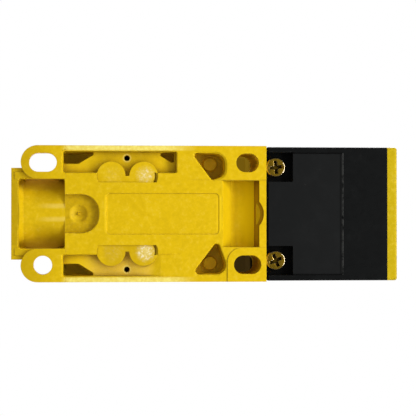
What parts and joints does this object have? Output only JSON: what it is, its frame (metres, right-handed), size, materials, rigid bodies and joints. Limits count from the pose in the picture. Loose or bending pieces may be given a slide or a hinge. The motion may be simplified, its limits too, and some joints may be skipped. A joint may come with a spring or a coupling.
{
  "type": "inductive proximity sensor",
  "caption": "Rectangular inductive proximity sensor: a yellow terminal base with slotted mounting holes and a screwed cable entry, a black lift-off cover and a plug-on black sensing head.",
  "frame": {"origin": "on the mounting plane, at the middle of the rectangle of the mounting holes", "axes": "+X along the sensor towards the sensing face, +Z away from the mounting surface, the terminal cover on top; the cable entry faces -X"},
  "size_m": [0.114, 0.04, 0.04],
  "materials": {
    "yellow_housing": "satin moulded thermoplastic, signal yellow",
    "yellow_face": "satin moulded thermoplastic, signal yellow",
    "black_cover": "finely textured black thermoplastic",
    "black_head": "smooth black thermoplastic",
    "seal_rubber": "matte nitrile rubber",
    "zinc_screw": "steel with yellow zinc plating",
    "plated_steel": "nickel-plated steel",
    "white_nylon": "natural nylon",
    "insert_brass": "turned brass",
    "dark_insulator": "black insulating plastic",
    "contact_metal": "tin-plated brass",
    "board_laminate": "green solder mask on glass laminate",
    "chip_epoxy": "black moulding epoxy",
    "capacitor_can": "aluminium can",
    "led_lens": "diffused LED lens",
    "clear_plastic": "clear polycarbonate",
    "ferrite": "sintered dark grey ferrite",
    "copper_wire": "enamelled copper wire",
    "potting": "cast resin"
  },
  "bodies": {
    "base": {"base_housing": "yellow_housing", "cover_inserts": "insert_brass", "terminal_carrier": "dark_insulator", "carrier_screws": "plated_steel", "contact_bar_1": "contact_metal", "contact_bar_2": "contact_metal", "contact_bar_3": "contact_metal", "contact_bar_4": "contact_metal", "contact_socket": "dark_insulator", "head_shell": "black_head", "active_face_cap": "yellow_face", "head_seal": "seal_rubber", "head_screws": "zinc_screw", "head_inserts": "insert_brass", "plug_carrier": "dark_insulator", "contact_pins": "contact_metal", "circuit_board": "board_laminate", "driver_chip": "chip_epoxy", "capacitors": "capacitor_can", "resistors": "chip_epoxy", "indicator_leds": "led_lens", "light_guides": "clear_plastic", "ferrite_core": "ferrite", "coil_bobbin": "white_nylon", "coil_winding": "copper_wire", "coil_leads": "copper_wire", "potting_resin": "potting"},
    "cover": {"terminal_cover": "black_cover", "cover_seal": "seal_rubber", "cover_screws": "zinc_screw", "screw_retainers": "white_nylon"},
    "terminal_screw_1": {"terminal_screw_1": "plated_steel"},
    "terminal_clamp_1": {"terminal_clamp_1": "plated_steel"},
    "terminal_screw_2": {"terminal_screw_2": "plated_steel"},
    "terminal_clamp_2": {"terminal_clamp_2": "plated_steel"},
    "terminal_screw_3": {"terminal_screw_3": "plated_steel"},
    "terminal_clamp_3": {"terminal_clamp_3": "plated_steel"},
    "terminal_screw_4": {"terminal_screw_4": "plated_steel"},
    "terminal_clamp_4": {"terminal_clamp_4": "plated_steel"}
  },
  "joints": [
    {"name": "cover_lift", "type": "slide", "parent": "base", "child": "cover", "axis": [0, 0, 1], "range_m": [0, 0.03]},
    {"name": "terminal_screw_1_turn", "type": "hinge", "parent": "base", "child": "terminal_screw_1", "pos_m": [-0.0101, -0.0111, 0.0205], "axis": [0, 0, 1], "range_deg": [0, 1440]},
    {"name": "terminal_clamp_1_open", "type": "slide", "parent": "base", "child": "terminal_clamp_1", "axis": [0, 0, -1], "range_m": [0, 0.0024]},
    {"name": "terminal_screw_2_turn", "type": "hinge", "parent": "base", "child": "terminal_screw_2", "pos_m": [-0.0006, -0.0111, 0.0205], "axis": [0, 0, 1], "range_deg": [0, 1440]},
    {"name": "terminal_clamp_2_open", "type": "slide", "parent": "base", "child": "terminal_clamp_2", "axis": [0, 0, -1], "range_m": [0, 0.0024]},
    {"name": "terminal_screw_3_turn", "type": "hinge", "parent": "base", "child": "terminal_screw_3", "pos_m": [-0.0101, 0.0111, 0.0205], "axis": [0, 0, 1], "range_deg": [0, 1440]},
    {"name": "terminal_clamp_3_open", "type": "slide", "parent": "base", "child": "terminal_clamp_3", "axis": [0, 0, -1], "range_m": [0, 0.0024]},
    {"name": "terminal_screw_4_turn", "type": "hinge", "parent": "base", "child": "terminal_screw_4", "pos_m": [-0.0006, 0.0111, 0.0205], "axis": [0, 0, 1], "range_deg": [0, 1440]},
    {"name": "terminal_clamp_4_open", "type": "slide", "parent": "base", "child": "terminal_clamp_4", "axis": [0, 0, -1], "range_m": [0, 0.0024]}
  ],
  "couplings": [
    {"joint": "terminal_screw_1_turn", "follows": "terminal_clamp_1_open", "rad_per_m": 10472},
    {"joint": "terminal_screw_2_turn", "follows": "terminal_clamp_2_open", "rad_per_m": 10472},
    {"joint": "terminal_screw_3_turn", "follows": "terminal_clamp_3_open", "rad_per_m": 10472},
    {"joint": "terminal_screw_4_turn", "follows": "terminal_clamp_4_open", "rad_per_m": 10472}
  ]
}
